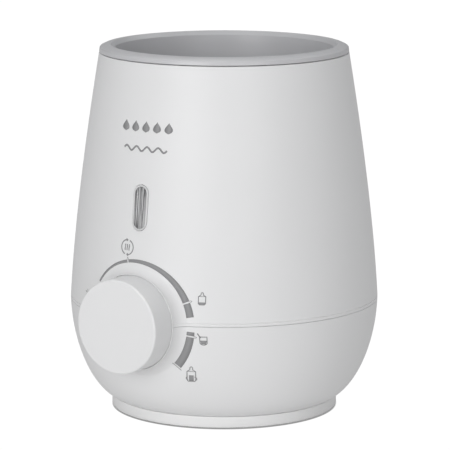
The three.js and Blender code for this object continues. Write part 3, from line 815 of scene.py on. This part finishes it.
def make_base():
    """A plate in a short ring, with a low wall that stands inside the casing."""
    inner = BASE_RADIUS - 2.5
    recess = BASE_RADIUS - 4.9
    under = base_low.z + 1.5
    floor = under + 2.2
    wall_top = floor + 3.8
    top = CASING_BOTTOM - BASE_GAP
    outline = [
        (0, under, 0),
        (inner, under, 0.3),
        (inner, base_low.z, 0.3),
        (BASE_RADIUS, base_low.z, 0.4),
        (BASE_RADIUS, top, 0.2),
        (recess + 1.9, top, 0.2),
        (recess + 1.5, wall_top, 0.2),
        (recess, wall_top, 0.2),
        (recess, floor, 0.2),
        (0, floor, 0),
    ]
    piece = lathe("base_ring", rounded(outline, 5), "warmer", "base")
    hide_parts("base_cover")


def make_plate():
    """A raised disc with a shallow ring in its face and a thin edge under the well's floor."""
    raised = 28.7
    edge_top = plate_low.z + 1.5
    under = PLATE_TOP - 2.3
    outline = [
        (0, PLATE_TOP, 0),
        (9, PLATE_TOP, 0.2),
        (10, PLATE_TOP - 0.25, 0.3),
        (11, PLATE_TOP, 0.2),
        (raised - 0.1, PLATE_TOP, 0.5),
        (raised, edge_top, 0.5),
        (PLATE_RADIUS, edge_top, 0.3),
        (PLATE_RADIUS, plate_low.z, 0.3),
        (raised - 2, plate_low.z, 0.4),
        (raised - 2, under, 0.6),
        (0, under, 0),
    ]
    piece = lathe("plate_disc", rounded(outline, 5), "warmer", "plate")
    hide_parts("heating_plate")


def make_feet():
    """Round soles with a stem and a pointed barb."""
    stem = 1.9
    sole_top = 1.7
    barb_start = 4.5
    for i in range(1, 5):
        name = f"rubber_foot_{i}"
        low, high = node_box(name)
        centre = ((low.x + high.x) / 2, (low.y + high.y) / 2 - AXIS_Y, 0)
        sole = (high.x - low.x) / 2
        outline = [
            (0, 0, 0),
            (sole, 0, 0.6),
            (sole, sole_top, 0.2),
            (stem, sole_top, 0.1),
            (stem, barb_start, 0.1),
            (stem + 0.8, barb_start, 0.15),
            (1.2, high.z, 0.3),
            (0, high.z, 0),
        ]
        foot = lathe(f"foot_{i}", rounded(outline, 4), "warmer", "foot_rubber", centre=centre, segments=48)
        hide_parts(name)


def make_gland():
    """A bush gripped between two flanges, with a tapered nose for the cord."""
    flange = gland_high.x
    neck = flange - 1.8
    bore = 3.2
    inner_flange = GLAND_INSIDE + 2.2
    outer_flange = GLAND_FACE + 0.3
    outline = [
        (bore, GLAND_INSIDE, 0.3),
        (flange, GLAND_INSIDE, 0.4),
        (flange, inner_flange, 0.4),
        (neck, inner_flange, 0.1),
        (neck, outer_flange, 0.1),
        (flange, outer_flange, 0.3),
        (flange - 0.5, GLAND_FACE + 2, 0.6),
        (bore + 1.2, GLAND_FACE + 2.4, 0.3),
        (bore + 0.7, GLAND_NOSE, 0.3),
        (bore, GLAND_NOSE, 0.2),
    ]
    centre = (0, 0, GLAND_HEIGHT)
    gland = lathe("gland_bush", rounded(outline, 5), "warmer", "foot_rubber", "back", centre, 96)
    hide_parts("cord_gland")


# ---- Indicator window ----

WINDOW_LEAN = 0.115  # angle of the casing's wall behind the window, in radians
FRAME_HALF = WINDOW_HALF - 0.07
FRAME_WIDTH = 0.8
OPTIC_HALF = FRAME_HALF - FRAME_WIDTH
RIB_COUNT = 6
RIB_DEPTH = 0.12


def about_window(points):
    """Turns points of (across, up, out) about the window's middle into body millimetres."""
    across, up, out = np.asarray(points, float).T
    reach = float(front_reach("upper", np.array([0.0]), np.array([WINDOW_HEIGHT]))[0])
    y = -reach - out * math.cos(WINDOW_LEAN) + up * math.sin(WINDOW_LEAN)
    z = WINDOW_HEIGHT + up * math.cos(WINDOW_LEAN) + out * math.sin(WINDOW_LEAN)
    return np.stack([across, y, z], -1)


def stadium_ring(radius, straight, out, count=64):
    """A ring of two half circles joined by straight sides."""
    turn = np.arange(count) * 2 * math.pi / count
    sine = np.sin(turn)
    up = radius * sine + straight * np.sign(sine) * np.minimum(1, np.abs(sine) * 40)
    return about_window(np.stack([radius * np.cos(turn), up, np.full(count, out)], 1))


def make_window_frame():
    """A pale frame flush with the casing."""
    profile = [
        (OPTIC_HALF, -2.0),
        (OPTIC_HALF, -0.05),
        (OPTIC_HALF + 0.1, 0.15),
        (OPTIC_HALF + 0.3, 0.27),
        (FRAME_HALF - 0.3, 0.25),
        (FRAME_HALF - 0.08, 0.1),
        (FRAME_HALF, -0.12),
        (FRAME_HALF, -2.0),
    ]
    sheet = Sheet()
    loops = [sheet.add(stadium_ring(radius, WINDOW_STRAIGHT, out)) for radius, out in profile]
    sheet.bridge_all([*loops, loops[0]])
    piece = new_piece("window_frame", sheet, "warmer", "lens")
    paint(even_normals(piece), BEZEL)
    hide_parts("indicator_lens")


def make_window_optic():
    """A glossy domed optic with upright ribs, inside the frame."""
    half = OPTIC_HALF - 0.04
    shares = np.linspace(-1, 1, 121)
    across = half * shares
    limit = np.sqrt(np.maximum(half**2 - across**2, 0)) + WINDOW_STRAIGHT
    relief = RIB_DEPTH * np.abs(np.sin(shares * math.pi * RIB_COUNT / 2))
    sheet = Sheet()
    rows = []
    for share in np.linspace(-1, 1, 49):
        dome = 0.12 * (1 - np.abs(share) ** 6) * (1 - shares**4)
        out = dome - relief * (1 - np.abs(share) ** 8)
        rows.append(sheet.add(about_window(np.stack([across, share * limit, out], 1))))
    sheet.bridge_all(rows, closed=False)
    optic = new_piece("window_optic", sheet, "warmer", "lens")
    paint(thickened(optic, 0.8, -1), OPTIC)


# ---- Printing on the body ----

PRINT_LIFT = 0.02
INK_THICKNESS = 0.03
THIN_LINE = 0.34
BOLD_LINE = 0.46

# The scale about the knob, in degrees clockwise from the top and in radii.
SCALE_START, SCALE_END = -56, 133.2
SCALE_INNER, SCALE_OUTER = 24.0, 24.85
UPPER_ARCS = [(SCALE_START, -11.2), (-10.0, 66.3), (67.7, 81.2)]
UPPER_TICKS = [-10.6, 67]
LOWER_ARCS = [(95.2, 98.9), (100.3, SCALE_END)]
LOWER_TICKS = [99.6]
KNOB_OFF = -135  # where the knob's mark points at rest


class Print:
    """Flat shapes drawn as seen from the front and laid on the body."""

    def __init__(self, half):
        self.half = half
        self.sheet = Sheet()

    def patch(self, grid):
        """A grid of places, rows by columns by (x, z)."""
        grid = np.asarray(grid, float)
        rows = [self.sheet.add(on_body(self.half, row[:, 0], row[:, 1], PRINT_LIFT)[0]) for row in grid]
        self.sheet.bridge_all(rows, closed=False)

    def stroke(self, points, width, closed=False):
        """A line of some width through points; corners are mitred."""
        places = np.array(points + [points[0]] if closed else points, float)
        fine = [places[0]]
        for start, end in zip(places, places[1:]):
            count = max(1, math.ceil(np.linalg.norm(end - start) / 0.5))
            fine.extend(start + (end - start) * k / count for k in range(1, count + 1))
        fine = np.array(fine)
        steps = fine[1:] - fine[:-1]
        before, after = (steps[-1], steps[0]) if closed else (steps[0], steps[-1])
        ahead = np.vstack([steps, after])
        behind = np.vstack([before, steps])
        ahead = ahead / np.linalg.norm(ahead, axis=1)[:, None]
        behind = behind / np.linalg.norm(behind, axis=1)[:, None]
        tangent = ahead + behind
        tangent /= np.linalg.norm(tangent, axis=1)[:, None]
        normal = np.stack([-tangent[:, 1], tangent[:, 0]], 1)
        mitre = np.minimum(1 / np.maximum((tangent * ahead).sum(1), 0.5), 1.5)
        side = normal * (mitre * width / 2)[:, None]
        self.patch(np.stack([fine - side, fine + side]))

    def fill(self, corners, steps=5):
        """A four-sided patch from its corners, in order."""
        a, b, c, d = (np.array(corner, float) for corner in corners)
        share = np.linspace(0, 1, steps)
        grid = [[(a + (b - a) * s) * (1 - t) + (d + (c - d) * s) * t for s in share] for t in share]
        self.patch(grid)

    def make(self, name):
        piece = new_piece(name, self.sheet, "warmer")
        paint(thickened(piece, INK_THICKNESS, 1), PRINT_GREY)


def circle_place(x, z, radius, degrees):
    """A place at some radius from a middle, clockwise from the top."""
    turn = math.radians(degrees)
    return (x + radius * math.sin(turn), z + radius * math.cos(turn))


def knob_place(radius, degrees):
    return circle_place(0, SEAM, radius, degrees)


def scale_edges(degrees):
    """Inner and outer radius of the scale, which widens as it turns."""
    share = (degrees - SCALE_START) / (SCALE_END - SCALE_START)
    widening = min(max((share - 0.1) / 0.62, 0), 1)
    widening = widening * widening * (3 - 2 * widening)
    return SCALE_INNER - 1.25 * widening, SCALE_OUTER + share


def scale_arc(ink, start, end):
    turns = np.linspace(start, end, max(3, round((end - start) / 1.2)))
    rows = [[], []]
    for degrees in turns:
        for row, radius in zip(rows, scale_edges(degrees)):
            row.append(knob_place(radius, degrees))
    ink.patch(rows)


def scale_tick(ink, degrees):
    """A thin open loop that stands out from the scale at a setting."""
    half = 0.65
    outer = scale_edges(degrees)[1]
    foot, shoulder, tip = outer - 0.1, outer + 0.5, outer + 0.95
    loop = [knob_place(radius, degrees - half) for radius in (foot, shoulder)]
    loop += [knob_place(tip, degrees)]
    loop += [knob_place(radius, degrees + half) for radius in (shoulder, foot)]
    ink.stroke(loop, 0.2)


def draw_scale(ink, arcs, ticks):
    for start, end in arcs:
        scale_arc(ink, start, end)
    for degrees in ticks:
        scale_tick(ink, degrees)


def scale_stop(ink):
    """The bar across the scale's far end."""
    inner, outer = scale_edges(SCALE_END)
    degrees = SCALE_END + 1.6
    ink.stroke([knob_place(inner - 0.5, degrees), knob_place(outer + 0.7, degrees)], 0.3)


def circle_points(x, z, radius, start, end, count=20):
    return [circle_place(x, z, radius, degrees) for degrees in np.linspace(start, end, count)]


def keep_warm_icon(ink, x, z):
    """Two arrows chasing round three waves of warmth."""
    radius = 3.0
    barb = 0.72
    for start in (22, 202):
        end = start + 150
        ink.stroke(circle_points(x, z, radius, start, end), 0.45)
        tip = circle_place(x, z, radius, end + 18)
        inner = circle_place(x, z, radius - barb, end - 3)
        outer = circle_place(x, z, radius + barb, end - 3)
        ink.fill([inner, outer, tip, tip], 3)
    for offset in (-1.0, 0, 1.0):
        wave = []
        for share in np.linspace(-1, 1, 13):
            wave.append((x + offset + 0.12 * math.sin(share * math.pi), z + 1.25 * share))
        ink.stroke(wave, BOLD_LINE)


def bottle_icon(ink, x, z, width, height, level, inset, lean=0.0):
    """A feeding bottle: body, sloping shoulders and a narrow teat, filled up to a level.

    The filling stays some inset from the sides, and a lean moves the bottle's top across.
    """
    half = width / 2
    shoulder = height * 0.68
    neck = height * 0.8
    left = [(-half, shoulder), (-half, 0.5), (-half + 0.45, 0)]
    right = [(half - 0.45, 0), (half, 0.5), (half, shoulder)]
    teat = [(0.34 * half, neck), (0.3 * half, height - 0.35), (0.12 * half, height)]
    mirrored = [(-across, up) for across, up in reversed(teat)]

    def place(across, up):
        return (x + across + lean * up, z + up)

    outline = [place(across, up) for across, up in left + right + teat + mirrored]
    ink.stroke(outline, THIN_LINE, closed=True)
    ink.stroke([place(-half, shoulder), place(half, shoulder)], THIN_LINE * 0.7)
    core = half - inset
    low = THIN_LINE / 2
    ink.fill([place(-core, low), place(core, low), place(core, level), place(-core, level)])


def cup_icon(ink, x, z):
    """A leaning bottle with a handle on each side."""
    width = 3.3
    bottle_icon(ink, x, z, width, 6.4, 2.7, 0.75, lean=0.17)
    for side in (-1, 1):
        handle_x = x + 0.23 + side * width * 0.4
        ink.stroke(circle_points(handle_x, z + 1.25, 0.7, 0, side * 180, 9), THIN_LINE)


def jar_icon(ink, x, z):
    """A food jar, part full, with a spoon leaning in it."""
    ink.stroke([(x - 1.5, z + 3.5), (x + 1.5, z + 3.5)], THIN_LINE)
    bottom = [(x + 1.3 * math.sin(t), z + 1.2 - 1.1 * math.cos(t)) for t in np.linspace(-1.4, 1.4, 13)]
    ink.stroke([(x - 1.35, z + 3.3), *bottom, (x + 1.35, z + 3.3)], THIN_LINE)
    ink.fill([(x - 0.75, z + 0.45), (x + 0.75, z + 0.45), (x + 1.25, z + 2.0), (x - 1.25, z + 2.0)])
    ink.stroke([(x - 0.9, z + 3.0), (x - 2.1, z + 4.9)], BOLD_LINE)


def frost_icon(ink, x, z):
    """A six-armed flake."""
    arm = 1.8
    for degrees in (0, 60, 120):
        ink.stroke([circle_place(x, z, -arm, degrees), circle_place(x, z, arm, degrees)], 0.3)


def drop_mark(ink, x, z, height):
    """A small drop, drawn as a filled outline."""
    for side in (-1, 1):
        edge = []
        core = []
        for share in np.linspace(0, 1, 9):
            width = 0.62 * height * math.sin(math.pi * share**0.75) * (1 - 0.45 * share) / 1.25
            edge.append((x + side * width, z + height * share))
            core.append((x, z + height * share))
        ink.patch([core, edge])


def emblem(ink):
    """A row of drops over a wave, near the top of the body's front."""
    for i in range(-2, 3):
        drop_mark(ink, i * 5.2, CASING_TOP - 27.1, 4.4)
    wave = []
    for share in np.linspace(-1, 1, 61):
        rise = 0.9 * math.sin(share * 4 * math.pi)
        wave.append((10.4 * share, CASING_TOP - 33.7 + rise))
    ink.stroke(wave, 0.75)


def make_prints():
    upper = Print("upper")
    draw_scale(upper, UPPER_ARCS, UPPER_TICKS)
    keep_warm_icon(upper, -5.2, SEAM + 29.55)
    bottle_icon(upper, 28.0, SEAM + 8.95, 2.6, 4.9, 1.0, 0.15)
    frost_icon(upper, *knob_place(29.6, -76))
    emblem(upper)
    upper.make("upper_print")

    lower = Print("lower")
    draw_scale(lower, LOWER_ARCS, LOWER_TICKS)
    scale_stop(lower)
    jar_icon(lower, 28.65, SEAM - 7.55)
    cup_icon(lower, 21.9, SEAM - 23.35)
    lower.make("lower_print")


def make_pointer():
    """A short printed line on the knob's side that shows its setting; it starts at off."""
    off = math.radians(KNOB_OFF)
    half_width = 0.032
    radius = KNOB_RADIUS + PRINT_LIFT
    sheet = Sheet()
    rows = []
    for reach in np.linspace(KNOB_FACE - 1.2, KNOB_FACE - 7.5, 8):
        row = []
        for turn in np.linspace(-half_width, half_width, 5):
            row.append((radius * math.sin(off + turn), -reach, SEAM + radius * math.cos(off + turn)))
        rows.append(sheet.add(row))
    sheet.bridge_all(rows, closed=False)
    mark = new_piece("knob_mark", sheet, "dial")
    paint(thickened(mark, INK_THICKNESS, 1), PRINT_GREY)


# ---- Stage, in metres ----

CAMERA_AZIMUTH = 34.1
CAMERA_DISTANCE = 1.197
CAMERA_HEIGHT = 0.2938
CAMERA_PITCH = 10.317
CAMERA_ASIDE = 0.00033
CAMERA_LENS = 232.85

LIGHT_DISTANCE = 1.8
LIGHT_SIZE = 0.9
LIGHT_AIM = 0.07  # height that the lights point at
SKY_STRENGTH = 0.235
FLOOR_STRENGTH = 0.555
STAGE_RADIUS = 8
STAGE_CENTRE = 0.5  # radius of the floor's inner disc
STAGE_COLUMNS = 48


def make_camera():
    data = bpy.data.cameras.new("camera")
    data.sensor_width = 36
    data.lens = CAMERA_LENS
    data.clip_end = 50
    camera = bpy.data.objects.new("camera", data)
    turn = math.radians(CAMERA_AZIMUTH)
    camera.location = (
        CAMERA_DISTANCE * math.sin(turn) + CAMERA_ASIDE * math.cos(turn),
        AXIS_Y * MM - CAMERA_DISTANCE * math.cos(turn) + CAMERA_ASIDE * math.sin(turn),
        CAMERA_HEIGHT,
    )
    camera.rotation_euler = (math.radians(90 - CAMERA_PITCH), 0, turn)
    bpy.context.scene.collection.objects.link(camera)
    bpy.context.scene.camera = camera


def area_light(name, azimuth, elevation, power):
    """A square light on the object; azimuth 0 is the front, and 90 the side of +X."""
    data = bpy.data.lights.new(name, "AREA")
    data.size = LIGHT_SIZE
    data.energy = power
    light = bpy.data.objects.new(name, data)
    turn, rise = math.radians(azimuth), math.radians(elevation)
    back = Vector((math.sin(turn) * math.cos(rise), -math.cos(turn) * math.cos(rise), math.sin(rise)))
    target = Vector((0, AXIS_Y * MM, LIGHT_AIM))
    light.location = target + back * LIGHT_DISTANCE
    light.rotation_euler = (-back).to_track_quat("-Z", "Y").to_euler()
    bpy.context.scene.collection.objects.link(light)
    return light


def make_world():
    world = bpy.data.worlds.new("studio")
    world.use_nodes = True
    sky = world.node_tree.nodes["Background"]
    sky.inputs["Color"].default_value = (0.97, 0.985, 1, 1)
    sky.inputs["Strength"].default_value = SKY_STRENGTH
    bpy.context.scene.world = world


def glow(name, dark, bright, fade_start, fade_end):
    """Light from a floor that is dark under the object and even beyond its edge; where the camera sees it,
    that darkness is a painted contact shadow.
    """
    made = bpy.data.materials.new(name)
    made.use_nodes = True
    tree = made.node_tree
    tree.nodes.clear()
    output = new_node(tree, "OutputMaterial")
    emission = new_node(tree, "Emission")
    place = new_node(tree, "TexCoord")
    length = new_node(tree, "VectorMath")
    length.operation = "LENGTH"
    ends = {"From Min": fade_start * MM, "From Max": fade_end * MM, "To Min": dark, "To Max": bright}
    fade = new_node(tree, "MapRange", ends)
    fade.interpolation_type = "SMOOTHSTEP"
    tree.links.new(place.outputs["Object"], length.inputs[0])
    tree.links.new(length.outputs["Value"], fade.inputs["Value"])
    tree.links.new(fade.outputs["Result"], emission.inputs["Strength"])
    tree.links.new(emission.outputs["Emission"], output.inputs["Surface"])
    return made


def stage_piece(name, rings, material, seen):
    """A round floor or dome from rings of (radius, height), seen by the camera or by the light alone."""
    sheet = Sheet()
    turns = np.arange(STAGE_COLUMNS) * 2 * math.pi / STAGE_COLUMNS
    loops = []
    for radius, height in rings:
        heights = np.full(STAGE_COLUMNS, height)
        loops.append(sheet.add(np.stack([radius * np.sin(turns), radius * np.cos(turns), heights], 1)))
    sheet.bridge_all(loops)
    sheet.faces.append(tuple(loops[0]))
    mesh = bpy.data.meshes.new(name)
    mesh.from_pydata(sheet.points, [], sheet.faces)
    mesh.materials.append(material)
    piece = bpy.data.objects.new(name, mesh)
    piece.location = (0, AXIS_Y * MM, 0)
    bpy.context.scene.collection.objects.link(piece)
    piece.visible_camera = seen
    piece.visible_diffuse = not seen
    piece.visible_glossy = not seen
    piece.visible_transmission = not seen
    piece.visible_shadow = not seen


def make_stage():
    """A pale floor that runs up into a pale dome, with a painted contact shadow under the object, and the
    even light that such a floor throws back.
    """
    turns = np.linspace(0, math.pi / 2, 24)[:-1]
    arc = [(STAGE_RADIUS * math.cos(t), STAGE_RADIUS * math.sin(t)) for t in turns]
    # The floor the camera sees glows only 0.3 under the object's base: a painted contact shadow in the gap
    # under the ring.
    seen = glow("floor_painted_shadow", 0.3, 1.03, BASE_RADIUS - 0.5, BASE_RADIUS + 0.4)
    stage_piece("floor", [(STAGE_CENTRE, 0), *arc, (0.01, STAGE_RADIUS)], seen, True)
    bounce = glow("floor_light", 0.0, FLOOR_STRENGTH, BASE_RADIUS - 2, BASE_RADIUS + 3)
    stage_piece("floor_bounce", [(STAGE_CENTRE, 0), (STAGE_RADIUS, 0)], bounce, False)


def make_lights():
    area_light("front_left", 5, 12, 13.6)
    area_light("front_right", 55, 12, 6.4)
    area_light("top_left", -100, 80, 9)
    area_light("back", 150, 50, 4)
    rear = area_light("rear", CAMERA_AZIMUTH + 180, 8, 11)
    rear.visible_glossy = False


bpy.context.scene.view_settings.view_transform = "Standard"
make_camera()
make_world()
make_stage()
make_lights()
finish_cad_nodes()
make_casings()
make_knob()
make_well()
make_base()
make_plate()
make_feet()
make_gland()
make_window_frame()
make_window_optic()
make_prints()
make_pointer()
